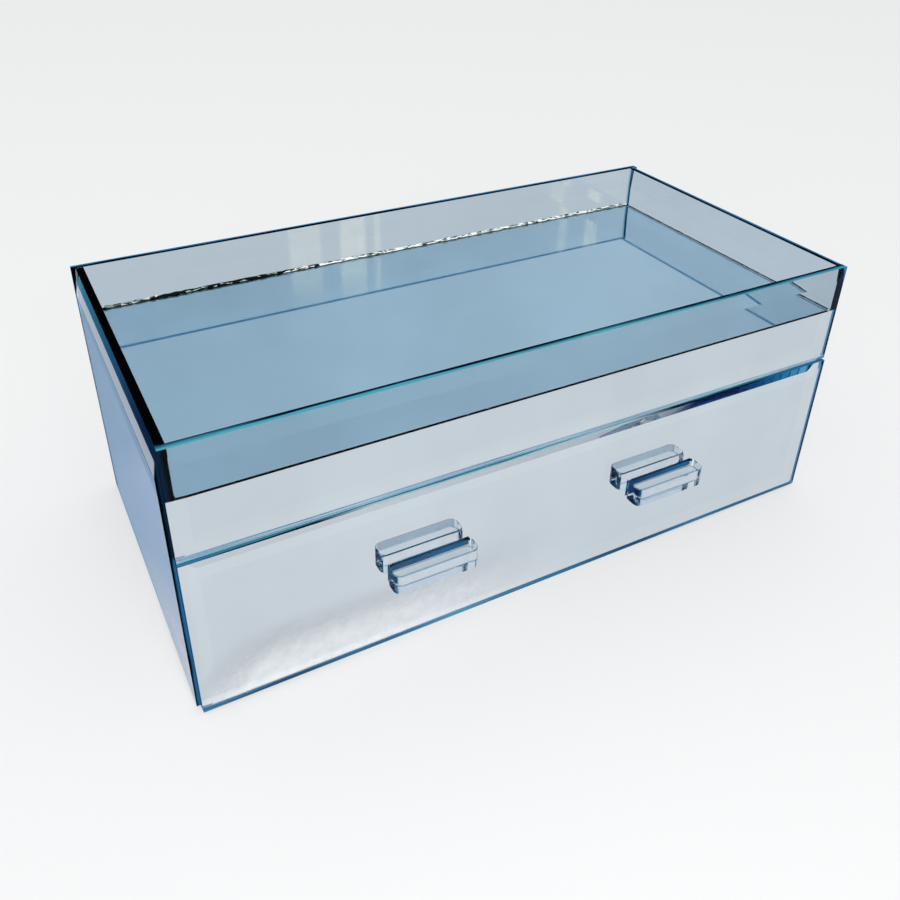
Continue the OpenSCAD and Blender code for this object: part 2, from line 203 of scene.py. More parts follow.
class Tree:
    """The node tree of one material, or of the world."""

    def __init__(self, name, world=False):
        self.owner = (bpy.data.worlds if world else bpy.data.materials).new(name)
        self.owner.use_nodes = True
        self.nt = self.owner.node_tree
        self.nt.nodes.clear()
        self.out = self.nt.nodes.new("ShaderNodeOutputWorld" if world else "ShaderNodeOutputMaterial")

    def add(self, kind, inputs=None, **settings):
        """A shader node; inputs maps sockets to values or to outputs of other nodes."""
        n = self.nt.nodes.new("ShaderNode" + kind)
        for key, value in settings.items():
            setattr(n, key, value)
        for key, value in (inputs or {}).items():
            if isinstance(value, bpy.types.NodeSocket):
                self.nt.links.new(value, n.inputs[key])
            elif hasattr(value, "__len__") and len(value) == 3 and n.inputs[key].type == "RGBA":
                n.inputs[key].default_value = (*value, 1)
            else:
                n.inputs[key].default_value = value
        return n

    def place(self):
        return self.add("TexCoord").outputs["Object"]

    def stretched(self, scale):
        """Object coordinates times a factor for each axis."""
        return self.add("VectorMath", {0: self.place(), 1: scale}, operation="MULTIPLY").outputs[0]

    def noise(self, scale, detail=3.0, rough=0.55, where=None):
        sockets = {"Vector": where or self.place(), "Scale": scale, "Detail": detail, "Roughness": rough}
        return self.add("TexNoise", sockets).outputs["Fac"]

    def fit(self, value, low, high, to_low, to_high):
        sockets = {0: value, 1: low, 2: high, 3: to_low, 4: to_high}
        return self.add("MapRange", sockets).outputs[0]

    def fade(self, value, none, full):
        """0 to 1 from one value to another, eased at both ends."""
        sockets = {0: value, 1: none, 2: full, 3: 0.0, 4: 1.0}
        return self.add("MapRange", sockets, interpolation_type="SMOOTHSTEP").outputs[0]

    def ramp(self, value, stops):
        """A colour by value, from stops of place and colour."""
        n = self.add("ValToRGB", {"Fac": value})
        line = n.color_ramp
        while len(line.elements) < len(stops):
            line.elements.new(0.5)
        for element, (at, colour) in zip(line.elements, stops):
            element.position = at
            element.color = (*colour, 1)
        return n.outputs["Color"]

    def bump(self, height, distance, strength=1.0):
        return self.add("Bump", {"Height": height, "Distance": distance, "Strength": strength}).outputs[0]

    def part(self, axis, where=None):
        """One coordinate of a place, by the axis's number."""
        return self.add("SeparateXYZ", {0: where or self.place()}).outputs[axis]

    def blend(self, share, one, other):
        return self.add("MixShader", {0: share, 1: one.outputs[0], 2: other.outputs[0]})

    def mix(self, share, one, other, kind="MIX"):
        """One colour or another, by share."""
        return self.add("MixRGB", {0: share, 1: one, 2: other}, blend_type=kind).outputs[0]

    def math(self, kind, one, other=0.0):
        return self.add("Math", {0: one, 1: other}, operation=kind).outputs[0]

    def within(self):
        """1 where a face is met from inside its piece of glass."""
        return self.add("NewGeometry").outputs["Backfacing"]

    def without(self):
        """1 where a face is met from outside its piece of glass."""
        return self.fit(self.within(), 0.0, 1.0, 1.0, 0.0)

    def seen(self):
        """1 for rays from the camera, a mirror or glass, and 0 for light that falls on things."""
        path = self.add("LightPath").outputs
        first = self.math("MAXIMUM", path["Is Camera Ray"], path["Is Glossy Ray"])
        return self.math("MAXIMUM", first, path["Is Transmission Ray"])

    def done(self, shader):
        self.nt.links.new(shader.outputs[0], self.out.inputs["Surface"])
        return self.owner


def shade(colour, by):
    return tuple(min(c * by, 1.0) for c in colour)


def glass_shader(t, through, outside, inside, smear=SMEAR):
    """Glass put together from what it bends and what it mirrors, with wiped, slightly smeared faces."""
    rough = t.fit(t.noise(38, 4), 0.42, 0.72, 0.0, smear)
    streaks = t.noise(1.0, 2, where=t.stretched((60, 60, 25)))
    tint = t.ramp(streaks, [(0.35, shade(through, 0.992)), (0.65, through)])
    gloss = outside if inside == outside else t.mix(t.within(), outside, inside)
    bent = t.add("BsdfRefraction", {"Color": tint, "Roughness": rough, "IOR": IOR})
    shine = t.add("BsdfGlossy", {"Color": gloss, "Roughness": rough})
    return t.blend(t.add("Fresnel", {"IOR": IOR}).outputs[0], bent, shine)


def clear_glass(name, through, outside, inside, smear=SMEAR):
    t = Tree(name)
    return t.done(glass_shader(t, through, outside, inside, smear))


def wall_glass(name):
    """Glass of a side wall, with a film of dust that thickens to the low front of its outer face."""
    t = Tree(name)
    glass = glass_shader(t, WALL_THROUGH, WALL_OUTSIDE, WALL_INSIDE)
    film = t.add("BsdfDiffuse", {"Color": WALL_DUST})
    slant = t.math("ADD", t.part(1), t.math("MULTIPLY", t.part(2), WALL_DUST_LEAN))
    share = t.math("MULTIPLY", t.fit(slant, *WALL_DUST_REACH, *WALL_DUST_SHARE), t.without())
    share = t.math("MULTIPLY", share, t.fit(t.noise(60, 4), 0.3, 0.7, 0.85, 1.1))
    return t.done(t.blend(share, glass, film))


def dust_and_sky_glass(name):
    """Glass of a wall's bevel, with a thin film of dust on its outer face, tinted blue as a painted
    reflection of the sky.
    """
    t = Tree(name)
    glass = glass_shader(t, WALL_THROUGH, BEVEL_OUTSIDE, WALL_INSIDE)
    film = t.add("BsdfDiffuse", {"Color": BEVEL_DUST_AND_SKY})
    share = t.math("MULTIPLY", t.fit(t.noise(90, 4), 0.3, 0.7, *BEVEL_DUST_AND_SKY_SHARE), t.without())
    return t.done(t.blend(share, glass, film))


def rim_glass(name):
    """The polished strip under a wall's rim, with painted refraction: teal at the back and navy at the front.
    """
    t = Tree(name)
    tone = t.ramp(t.fit(t.part(1), -WALL_HALF_Y, WALL_HALF_Y, 0.0, 1.0), RIM_TONES)
    return t.done(glass_shader(t, WALL_THROUGH, tone, WALL_INSIDE))


def drawer_glass(name, through, outside):
    """The drawer's glass, with a wiped patch of dust low on the left that also paints a bright glow there."""
    t = Tree(name)
    glass = glass_shader(t, through, outside, FRONT_INSIDE)
    x, z = t.part(0), t.part(2)
    slant = t.math("SUBTRACT", x, t.math("MULTIPLY", z, DRAWER_DUST_AND_GLOW_LEAN))
    patch = t.fit(slant, *DRAWER_DUST_AND_GLOW_START, 0.0, 1.0)
    for place, reach in ((x, DRAWER_DUST_AND_GLOW_X), (z, DRAWER_DUST_AND_GLOW_UP), (z, DRAWER_DUST_AND_GLOW_DOWN)):
        patch = t.math("MULTIPLY", patch, t.fade(place, *reach))
    wiped = t.fit(t.noise(170, 6, 0.65), 0.3, 0.7, *DRAWER_DUST_AND_GLOW_SHARE)
    film = t.add("BsdfDiffuse", {"Color": DRAWER_DUST_AND_GLOW})
    return t.done(t.blend(t.math("MULTIPLY", patch, wiped), glass, film))


def silver_coat(name, colour):
    """The mirror layer on the back of a pane, with faint clouds in the coat."""
    t = Tree(name)
    cloud = t.noise(22, 4)
    tone = t.ramp(cloud, [(0.3, shade(colour, 0.965)), (0.7, shade(colour, 1.02))])
    rough = t.fit(t.noise(70, 3), 0.4, 0.75, 0.0, 0.035)
    return t.done(t.add("BsdfGlossy", {"Color": tone, "Roughness": rough}))


def edge_shader(t, outer, rough, inner):
    """A ground edge: dull from outside, and another shader where it is met from inside the glass."""
    dull = t.add("BsdfPrincipled", {"Base Color": outer, "Roughness": rough, "Specular IOR Level": 0.0})
    return t.blend(t.within(), dull, inner)


def wall_edge(name):
    """The edge of a wall: black, with a blue line of painted refraction along the right and back rims and
    down the front ends, where painted shade makes the line dark above the drawer. From within, it lets light
    out in blue."""
    t = Tree(name)
    x, y, z = (t.part(k) for k in range(3))
    across_x = t.fit(t.math("ABSOLUTE", x), SIDE_IN_X, SIDE_OUT_X, 0.0, 1.0)
    across_y = t.fit(y, BACK_IN_Y, BACK_IN_Y + BACK_EDGE, 0.0, 1.0)
    right = t.fit(x, -1 * MM, 1 * MM, 0.0, 1.0)
    front = t.fit(y, *WALL_FRONT_Y, 1.0, 0.0)
    above = t.fit(z, GAP_Z - 1 * MM, GAP_Z + 1 * MM, 0.0, 0.85)
    lined = t.math("MULTIPLY", across_x, t.math("MAXIMUM", right, front))
    wander = t.fit(t.noise(30, 3), 0.3, 0.7, -0.08, 0.08)
    line = t.math("ADD", t.math("MAXIMUM", lined, across_y), wander)
    black, blue = WALL_EDGE_BLACK, WALL_EDGE_BLUE
    tone = t.ramp(line, [(0.30, black), (0.46, blue), (0.76, blue), (0.92, black)])
    # Painted shade: the front ends go dark above the drawer
    tone = t.mix(t.math("MULTIPLY", front, above), tone, black)
    tint = t.ramp(t.noise(60, 3), WALL_EDGE_WITHIN)
    return t.done(edge_shader(t, tone, 0.3, t.add("BsdfTransparent", {"Color": tint})))


def front_edge(name, back_y, tones, along, ends, mirror_to=0.0):
    """The edge of a front pane, with painted refraction in its tones. tones go by share of its depth from the
    front, along is its front line from left to right, and ends are its upright ends, by depth.
    lines, and the upright ones in blue. Below the height mirror_to, it mirrors in pale lines instead."""
    t = Tree(name)
    wander = t.fit(t.noise(1.0, 3, 0.6, t.stretched((22, 900, 22))), 0.3, 0.7, -0.25, 0.25)
    depth = t.math("ADD", t.fit(t.part(1), back_y - FRONT_EDGE, back_y, 0.0, 1.0), wander)
    line = t.ramp(t.fit(t.part(0), -FRONT_HALF_X, FRONT_HALF_X, 0.0, 1.0), along)
    tone = t.mix(t.fit(depth, 0.24, 0.42, 1.0, 0.0), t.ramp(depth, tones), line)
    end = t.fit(t.math("ABSOLUTE", t.part(0)), *FRONT_END_X, 0.0, 1.0)
    tone = t.mix(end, tone, t.ramp(depth, ends))
    lines = t.noise(1.0, 4, 0.6, t.stretched((14, 1300, 14)))
    tint = t.mix(end, t.ramp(lines, LONG_WITHIN), t.ramp(lines, UPRIGHT_WITHIN))
    inner = t.add("BsdfTransparent", {"Color": tint})
    if mirror_to:
        below = t.fit(t.part(2), mirror_to - 0.5 * MM, mirror_to, 1.0, 0.0)
        pale = t.add("BsdfGlossy", {"Color": t.ramp(lines, MIRROR_WITHIN), "Roughness": 0.04})
        inner = t.blend(below, inner, pale)
    return t.done(edge_shader(t, tone, 0.2, inner))


def tray_edge(name):
    """The dull black front edge of the tray's glass."""
    t = Tree(name)
    tone = t.ramp(t.noise(80, 3), [(0.3, (0.0008, 0.001, 0.0015)), (0.7, (0.002, 0.004, 0.006))])
    sockets = {"Base Color": tone, "Roughness": 0.3, "Specular IOR Level": 0.0}
    return t.done(t.add("BsdfPrincipled", sockets))


def clear_bond(name, outside, inside):
    """Clear glue that wets the glass on both sides, so that light goes straight on, tinted from each side."""
    t = Tree(name)
    cloud = t.noise(300, 2)

    def tone(colour):
        return t.ramp(cloud, [(0.3, shade(colour, 0.985)), (0.7, colour)])

    tint = tone(outside)
    if inside != outside:
        tint = t.mix(t.within(), tint, tone(inside))
    return t.done(t.add("BsdfTransparent", {"Color": tint}))


def backing_paint(name):
    """Dark grey paint on the back of a mirror."""
    t = Tree(name)
    tone = t.ramp(t.noise(60, 5), [(0.3, (0.020, 0.024, 0.032)), (0.7, (0.045, 0.052, 0.066))])
    bump = t.bump(t.noise(900, 3), 0.02 * MM, 0.4)
    return t.done(t.add("BsdfPrincipled", {"Base Color": tone, "Roughness": 0.45, "Normal": bump}))


def stained_board(name):
    """Fibreboard stained black: fine flecks and a dull coat."""
    t = Tree(name)
    flecks = t.noise(1.0, 6, 0.7, t.stretched((900, 900, 1400)))
    cloud = t.noise(35, 3)
    both = t.math("MULTIPLY", flecks, cloud)
    tones = [(0.1, (0.012, 0.012, 0.013)), (0.35, (0.035, 0.033, 0.032)), (0.6, (0.075, 0.068, 0.062))]
    tone = t.ramp(both, tones)
    rough = t.fit(cloud, 0.3, 0.7, 0.5, 0.72)
    bump = t.bump(flecks, 0.05 * MM, 0.5)
    return t.done(t.add("BsdfPrincipled", {"Base Color": tone, "Roughness": rough, "Normal": bump}))


def velvet(name):
    """Dark blue-grey velvet: a short nap, brushed in patches."""
    t = Tree(name)
    nap = t.noise(2600, 3, 0.7)
    brushed = t.noise(28, 3)
    low = t.ramp(brushed, [(0.35, (0.016, 0.019, 0.032)), (0.65, (0.032, 0.038, 0.060))])
    tone = t.mix(0.5, low, t.ramp(nap, [(0.3, (0.2, 0.2, 0.2)), (0.75, (1, 1, 1))]), "MULTIPLY")
    bump = t.bump(nap, 0.25 * MM, 0.8)
    sockets = {"Base Color": tone, "Roughness": 0.95, "Normal": bump,
               "Sheen Weight": 0.8, "Sheen Roughness": 0.35, "Sheen Tint": (0.45, 0.5, 0.65, 1)}
    return t.done(t.add("BsdfPrincipled", sockets))


def felt(name):
    """Black pressed felt."""
    t = Tree(name)
    fibres = t.noise(1.0, 6, 0.75, t.stretched((1500, 1500, 1500)))
    tone = t.ramp(fibres, [(0.3, (0.010, 0.010, 0.012)), (0.7, (0.045, 0.045, 0.050))])
    bump = t.bump(fibres, 0.3 * MM, 0.9)
    return t.done(t.add("BsdfPrincipled", {"Base Color": tone, "Roughness": 1.0, "Normal": bump}))


def glue(name, dark, light, shine):
    """One kind of facet in a bead of glue with cut glass behind it."""
    t = Tree(name)
    tone = t.ramp(t.noise(1.0, 4, 0.7, t.stretched((700, 700, 1500))), [(0.35, dark), (0.65, light)])
    bump = t.bump(t.noise(1200, 3), 0.05 * MM, 0.6)
    sockets = {"Base Color": tone, "Roughness": 0.25, "Normal": bump, "Specular IOR Level": shine}
    return t.done(t.add("BsdfPrincipled", sockets))


def floor_paint(name):
    """White paint that the camera, and still more the mirrors, see evened out, so that shadows are faint."""
    t = Tree(name)
    tone = t.ramp(t.noise(3, 2), [(0.3, shade(FLOOR_COLOUR, 0.997)), (0.7, FLOOR_COLOUR)])
    paint = t.add("BsdfDiffuse", {"Color": tone})
    glow = t.add("Emission", {"Color": FLOOR_SEEN, "Strength": 1.0})
    path = t.add("LightPath").outputs
    mirrored = t.math("MAXIMUM", path["Is Glossy Ray"], path["Is Transmission Ray"])
    straight = t.fit(path["Is Camera Ray"], 0.0, 1.0, 0.0, FLOOR_GLOW)
    evened = t.math("MAXIMUM", straight, t.fit(mirrored, 0.0, 1.0, 0.0, FLOOR_MIRRORED))
    return t.done(t.blend(evened, paint, glow))


def painted_shadow_card(name):
    """Painted shadow: an even glowing grey behind the box and on its right, fading out over the card's
    borders.
    """
    t = Tree(name)
    x, y = t.part(0), t.part(1)
    tone = t.ramp(t.noise(12, 3), [(0.3, shade(SHADOW_CARD_COLOUR, 0.97)), (0.7, SHADOW_CARD_COLOUR)])
    card = t.add("Emission", {"Color": tone, "Strength": 1.0})
    behind = t.fit(y, CARD_BACK_Y, CARD_BACK_Y + CARD_NEAR, 0.0, 1.0)
    beside = t.math("MULTIPLY", t.fit(x, CARD_RIGHT_X, CARD_RIGHT_X + CARD_NEAR, 0.0, 1.0),
                    t.fit(y, CARD_FRONT_Y, CARD_FULL_Y, 0.0, 1.0))
    share = t.math("MAXIMUM", behind, beside)
    for fade in (t.fade(x, CARD_LEFT_X, CARD_FULL_X), t.fade(x, CARD_FAR, CARD_FULL_FAR),
                 t.fade(y, CARD_FAR, CARD_FULL_FAR)):
        share = t.math("MULTIPLY", share, fade)
    return t.done(t.blend(share, t.add("BsdfTransparent"), card))


def new_object(name, bm, materials):
    """An object from loose faces: joined where they meet, with normals outwards."""
    bmesh.ops.remove_doubles(bm, verts=bm.verts, dist=1e-7)
    bmesh.ops.recalc_face_normals(bm, faces=bm.faces)
    mesh = bpy.data.meshes.new(name)
    bm.to_mesh(mesh)
    bm.free()
    for mat in materials:
        mesh.materials.append(mat)
    obj = bpy.data.objects.new(name, mesh)
    bpy.context.scene.collection.objects.link(obj)
    return obj


def face(bm, points, material=0):
    f = bm.faces.new([bm.verts.new(p) for p in points])
    f.material_index = material
    return f


# Skins of a pane, by their place in its list of materials. The sixth is a wall's rim or the fascia's back
GLASS, SILVER, EDGE, BOND, BEVEL = range(5)
RIM, BACK = 5, 5
# Skins of the tray's mirror after its glass, silver and edge, and of a pull
PAINT, SHARDS = 3, 4
PULL_GLASS, PULL_GLUED, PULL_ARRIS, PULL_LINE = range(4)
# Share of a wall's bevel that is the strip under its rim, and the width of the line along its foot
RIM_SHARE = 0.48
BEVEL_LINE = 1.0 * MM
# How far the fascia's silver reaches above its node, which leaves a fine dark line under the tray's surface
SEAM_COVER = 0.4 * MM
# Depth of the tray's silver below its surface: the mirror image starts close to the walls
TRAY_SKIN = 0.9 * MM
# Width of the back wall's inner face that a side wall's bevel leaves bare at each end
BACK_FLANK = WALL_BEVEL * BEVEL_SLOPE
# Width of the blue line up a corner of two walls
CORNER_LINE = 0.25 * MM
# Shards of the tray's rear edge: least and greatest step, lean, least step at the top, and room for the last
SHARD_STEP = (0.6 * MM, 3.0 * MM)
SHARD_LEAN = 2.8 * MM
SHARD_LEAST = 0.3 * MM
SHARD_LAST = 6.0 * MM
# Share of a bead's node that its facets fill, and their length: at the back, the front and the sides
REAR_BEAD, FRONT_BEAD, SIDE_BEAD = (0.72, 2.2 * MM), (0.4, 1.4 * MM), (0.7, 1.4 * MM)
# Spacing of the points on cloth
CLOTH_STEP = 5 * MM


def wall_pane(name, width, height, thick, silver_to, materials, turn, ends, flank=0.0):
    """A side or back pane as the solids stand it: inner face on y = 0, outer face to -Y, lower edge on
    z = 0. Its top is bevelled, and its inner face is silvered up to silver_to. ends are the skins of its two
    upright edges, and flank is the width of the edge's colour down each end of the inner face."""
    half, top, foot, shoulder = width / 2 - AIR, height - AIR, AIR, height - WALL_BEVEL
    edge, corner = -(thick - WALL_BEVEL * BEVEL_SLOPE), -AIR - CORNER_LINE
    strip = (edge + (-thick - edge) * RIM_SHARE, top + (shoulder - top) * RIM_SHARE)
    outline = [(-AIR, foot), (-AIR, silver_to), (-AIR, top), (corner, top), (edge, top), strip,
               (-thick, shoulder), (-thick, shoulder - BEVEL_LINE), (-thick, foot), (corner, foot)]
    skins = [SILVER, GLASS, EDGE, EDGE, RIM, BEVEL, RIM, GLASS, EDGE, EDGE]
    cuts = [-half, flank - half, half - flank, half] if flank else [-half, half]
    bm = bmesh.new()
    for k, skin in enumerate(skins):
        (y0, v0), (y1, v1) = outline[k], outline[(k + 1) % len(outline)]
        for u0, u1 in zip(cuts, cuts[1:]):
            flanked = flank and k == 1 and u1 - u0 < 2 * flank
            face(bm, [(u0, y0, v0), (u1, y0, v0), (u1, y1, v1), (u0, y1, v1)], EDGE if flanked else skin)
    for u, skin in ((-half, ends[0]), (half, ends[1])):
        if skin == BOND:
            face(bm, [(u, y, v) for y, v in outline[:4] + outline[9:]], RIM)
            face(bm, [(u, y, v) for y, v in outline[3:]], BOND)
        else:
            face(bm, [(u, y, v) for y, v in outline], skin)
    bmesh.ops.transform(bm, matrix=turn, verts=bm.verts)
    return new_object(name, bm, materials)


def front_pane(name, width, height, thick, silver_to, materials, turn, glued=0.0, patches=()):
    """A front pane as the solids stand it: back on y = 0, bevelled face to -Y, lower edge on z = 0. Its back
    is silvered up to silver_to, and above that glued on a wall over the width glued at each end. patches are
    (u low, u high, v low, v high) of the front under a pull."""
    half, top, bevel = width / 2 - AIR, height - AIR, FRONT_BEVEL
    foot, edge = AIR, -(thick - bevel * FRONT_SLOPE)
    cuts_u = sorted({-width / 2 + bevel, width / 2 - bevel, *(u for p in patches for u in p[:2])})
    cuts_v = sorted({bevel, height - bevel, *(v for p in patches for v in p[2:])})
    back_u = [-half, glued - half, half - glued, half] if glued else [-half, half]
    bm = bmesh.new()
    for u0, u1 in zip(cuts_u, cuts_u[1:]):
        for v0, v1 in zip(cuts_v, cuts_v[1:]):
            bonded = any(p[0] <= u0 and u1 <= p[1] and p[2] <= v0 and v1 <= p[3] for p in patches)
            corners = [(u0, -thick, v0), (u1, -thick, v0), (u1, -thick, v1), (u0, -thick, v1)]
            face(bm, corners, BOND if bonded else GLASS)
    for v_out, v_in in ((foot, cuts_v[0]), (top, cuts_v[-1])):
        front = [(-half, edge, v_out), (half, edge, v_out)]
        face(bm, front + [(u, -thick, v_in) for u in reversed(cuts_u)], BEVEL)
        rear = back_u if v_out == top else (-half, half)
        face(bm, front + [(u, -AIR, v_out) for u in reversed(rear)], EDGE)
    split = min(silver_to, top)
    for u_out, u_in in ((-half, cuts_u[0]), (half, cuts_u[-1])):
        front = [(u_out, edge, foot), (u_out, edge, top)]
        face(bm, front + [(u_in, -thick, v) for v in reversed(cuts_v)], BEVEL)
        back = [(u_out, -AIR, top), (u_out, -AIR, split), (u_out, -AIR, foot)]
        if split == top:
            back = back[1:]
        face(bm, front + back, EDGE)
    lower = [(-half, -AIR, foot), (half, -AIR, foot)]
    face(bm, lower + [(u, -AIR, split) for u in reversed(back_u)], SILVER)
    if split < top:
        for u0, u1, skin in zip(back_u, back_u[1:], (BOND, BACK, BOND)):
            face(bm, [(u0, -AIR, split), (u1, -AIR, split), (u1, -AIR, top), (u0, -AIR, top)], skin)
    bmesh.ops.transform(bm, matrix=turn, verts=bm.verts)
    return new_object(name, bm, materials)


def sizes(node):
    """The low corner, high corner and size of a node's box."""
    low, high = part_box(node)
    return low, high, [b - a for a, b in zip(low, high)]


def stand(obj, body, slot, *nodes):
    """The piece rides on a body and stands for the given nodes. slot is not used."""
    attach(obj, body)
    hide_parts(*nodes)


def spin(degrees):
    """A turn about Z."""
    return Matrix.Rotation(math.radians(degrees), 4, "Z")


def build_walls(mats):
    """The side and back panes, of glass that is silvered on the inside up to the tray."""
    skins = ("wall_glass", "wall_silver", "wall_edge", "end_bond", "wall_bevel", "wall_rim")
    coats = [mats[n] for n in skins]
    silver_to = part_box("left_silver")[1][2] - FOOT
    for side, degrees, ends in (("left", -90, (BOND, EDGE)), ("right", 90, (EDGE, BOND))):
        low, high, size = sizes(side + "_side_pane")
        back_x = high[0] if side == "left" else low[0]
        turn = Matrix.Translation((back_x, (low[1] + high[1]) / 2, low[2])) @ spin(degrees)
        wall = wall_pane(side + "_wall", size[1], size[2], size[0], silver_to, coats, turn, ends)
        stand(wall, "case", "wall_glass", side + "_side_pane")
    coats[GLASS] = coats[BEVEL] = mats["back_glass"]
    low, _, size = sizes("back_pane")
    turn = Matrix.Translation((0, low[1], low[2])) @ spin(180)
    ends = (EDGE, EDGE)
    wall = wall_pane("back_wall", size[0], size[2], size[1], silver_to, coats, turn, ends, BACK_FLANK)
    stand(wall, "case", "wall_glass", "back_pane")


def build_fronts(mats):
    """The fascia, and the drawer's mirror with the places where its pulls are glued."""
    skins = ("front_glass", "fascia_silver", "fascia_edge", "bond", "front_bevel", "fascia_back")
    coats = [mats[n] for n in skins]
    low, high, size = sizes("front_fascia_pane")
    glued = high[0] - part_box("right_side_pane")[0][0]
    silver_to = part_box("fascia_silver")[1][2] - low[2] + SEAM_COVER
    turn = Matrix.Translation((0, high[1], low[2]))
    fascia = front_pane("fascia", size[0], size[2], size[1], silver_to, coats, turn, glued)
    stand(fascia, "case", "front_glass", "front_fascia_pane")
    low, high, size = sizes("drawer_glass")
    turn = Matrix.Translation((0, high[1], low[2]))
    patches = []
    for pull in ("left_pull", "right_pull"):
        a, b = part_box(pull)
        patches.append((a[0] + GLUE_INSET, b[0] - GLUE_INSET,
                        a[2] - low[2] + PULL_CHAMFER, b[2] - low[2] - PULL_CHAMFER))
    skins = ("drawer_glass", "front_silver", "drawer_edge", "bond", "drawer_bevel")
    coats = [mats[n] for n in skins]
    front = front_pane("drawer_mirror", size[0], size[2], size[1], size[2], coats, turn, patches=patches)
    stand(front, "drawer", "front_glass", "drawer_glass")


def shard_kind(place):
    """Chances of a dark and of a green shard at a place along the back of the tray, from 0 to 1. The rest are
    pale, painted glints of the cut glass."""
    for end, dark, green in ((0.08, 0.30, 0.62), (0.12, 0.97, 0.02), (0.28, 0.82, 0.16), (0.36, 0.55, 0.2)):
        if place < end:
            return dark, green
    return 0.22, 0.22


def plain_kind(place):
    """The same chances for a bead that is dark all along."""
    return 0.97, 0.03


def pick_shard(chance, place, kinds=shard_kind):
    """0 for a dark shard, 1 for a green one, 2 for a pale one."""
    dark, green = kinds(place)
    pick = chance.random()
    return 0 if pick < dark else 1 if pick < dark + green else 2


def shard_edge(bm, x0, x1, y, z0, z1, first):
    """The tray's rear edge, cut into slanting shards. first is the material of the dark ones."""
    chance = random.Random(7)
    low, high = [x0], [x0]
    while max(low[-1], high[-1]) < x1 - SHARD_LAST:
        low.append(low[-1] + chance.uniform(*SHARD_STEP))
        high.append(max(low[-1] + chance.uniform(-SHARD_LEAN, SHARD_LEAN), high[-1] + SHARD_LEAST))
    low.append(x1)
    high.append(x1)
    for a0, a1, b0, b1 in zip(low, low[1:], high, high[1:]):
        skin = first + pick_shard(chance, (a0 - x0) / (x1 - x0))
        face(bm, [(a0, y, z0), (a1, y, z0), (b1, y, z1), (b0, y, z1)], skin)
    return low, high


def build_tray(mats):
    """The tray's mirror as two closed layers: clear glass over silver, and the plate under it."""
    low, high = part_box("tray_mirror")
    x0, y0, z0 = (v + AIR for v in low)
    x1, y1, z2 = (v - AIR for v in high)
    z1 = z2 - TRAY_SKIN
    bm = bmesh.new()
    under, over = shard_edge(bm, x0, x1, y1, z1, z2, SHARDS)
    face(bm, [(x0, y0, z2), (x1, y0, z2)] + [(x, y1, z2) for x in reversed(over)], GLASS)
    face(bm, [(x0, y0, z1), (x1, y0, z1)] + [(x, y1, z1) for x in reversed(under)], SILVER)
    face(bm, [(x0, y0, z1), (x1, y0, z1), (x1, y0, z2), (x0, y0, z2)], EDGE)
    for x in (x0, x1):
        face(bm, [(x, y0, z1), (x, y1, z1), (x, y1, z2), (x, y0, z2)], SILVER)
    plan = [(x0, y0), (x1, y0), (x1, y1), (x0, y1)]
    for z in (z0, z1 - AIR):
        face(bm, [(x, y, z) for x, y in plan], PAINT)
    for (ax, ay), (bx, by) in zip(plan, plan[1:] + plan[:1]):
        face(bm, [(ax, ay, z0), (bx, by, z0), (bx, by, z1 - AIR), (ax, ay, z1 - AIR)], PAINT)
    skins = ("tray_glass", "tray_silver", "tray_edge", "paint", "bead_dark", "bead_green", "bead_pale_glint")
    plate = new_object("tray_plate", bm, [mats[n] for n in skins])
    stand(plate, "case", "tray_glass", "tray_mirror")


def build_pull(side, mats):
    """A glass bar with round upright corners and ground arrises, glued on its back."""
    low, high, size = sizes(side + "_pull")
    middle, steps = (low[0] + high[0]) / 2, CORNER_STEPS
    front_y, back_y = low[1] + PULL_FRONT_R, high[1] - PULL_BACK_R
    # Side, radius, middle in y and first angle of each round corner
    corners = ((-1, PULL_BACK_R, back_y, 90), (-1, PULL_FRONT_R, front_y, 180),
               (1, PULL_FRONT_R, front_y, 270), (1, PULL_BACK_R, back_y, 0))

    def plan(cut):
        """The bar's outline seen from above, drawn in by cut."""
        points = []
        for end, r, y, start in corners:
            x = middle + end * (size[0] / 2 - r)
            for k in range(steps + 1):
                a = math.radians(start + 90 * k / steps)
                points.append((x + (r - cut) * math.cos(a), y + (r - cut) * math.sin(a)))
        return points

    # Height and cut of each level. The bands between them are an arris, the bar, the bar before the dark
    # line, and an arris
    levels = [(low[2], PULL_CHAMFER), (low[2] + PULL_CHAMFER, 0), (high[2] - PULL_CHAMFER - GLUE_LINE, 0),
              (high[2] - PULL_CHAMFER, 0), (high[2], PULL_CHAMFER)]
    rings = [[(x, y, z) for x, y in plan(cut)] for z, cut in levels]
    count = len(rings[0])
    bm = bmesh.new()
    face(bm, rings[0])
    face(bm, rings[-1])
    for n, (a, b) in enumerate(zip(rings, rings[1:])):
        for k in range(count):
            j = (k + 1) % count
            glued = k < GLUE_STEPS or k >= count - 1 - GLUE_STEPS
            if n in (0, 3):
                skin = PULL_ARRIS
            elif glued:
                skin = PULL_GLUED if n == 1 else PULL_LINE
            else:
                skin = PULL_GLASS
            face(bm, [a[k], a[j], b[j], b[k]], skin)
    skins = ("pull_glass", "bond", "pull_arris", "glue_shade_line")
    bar = new_object(side + "_pull_bar", bm, [mats[n] for n in skins])
    stand(bar, "drawer", "pull_glass", side + "_pull")


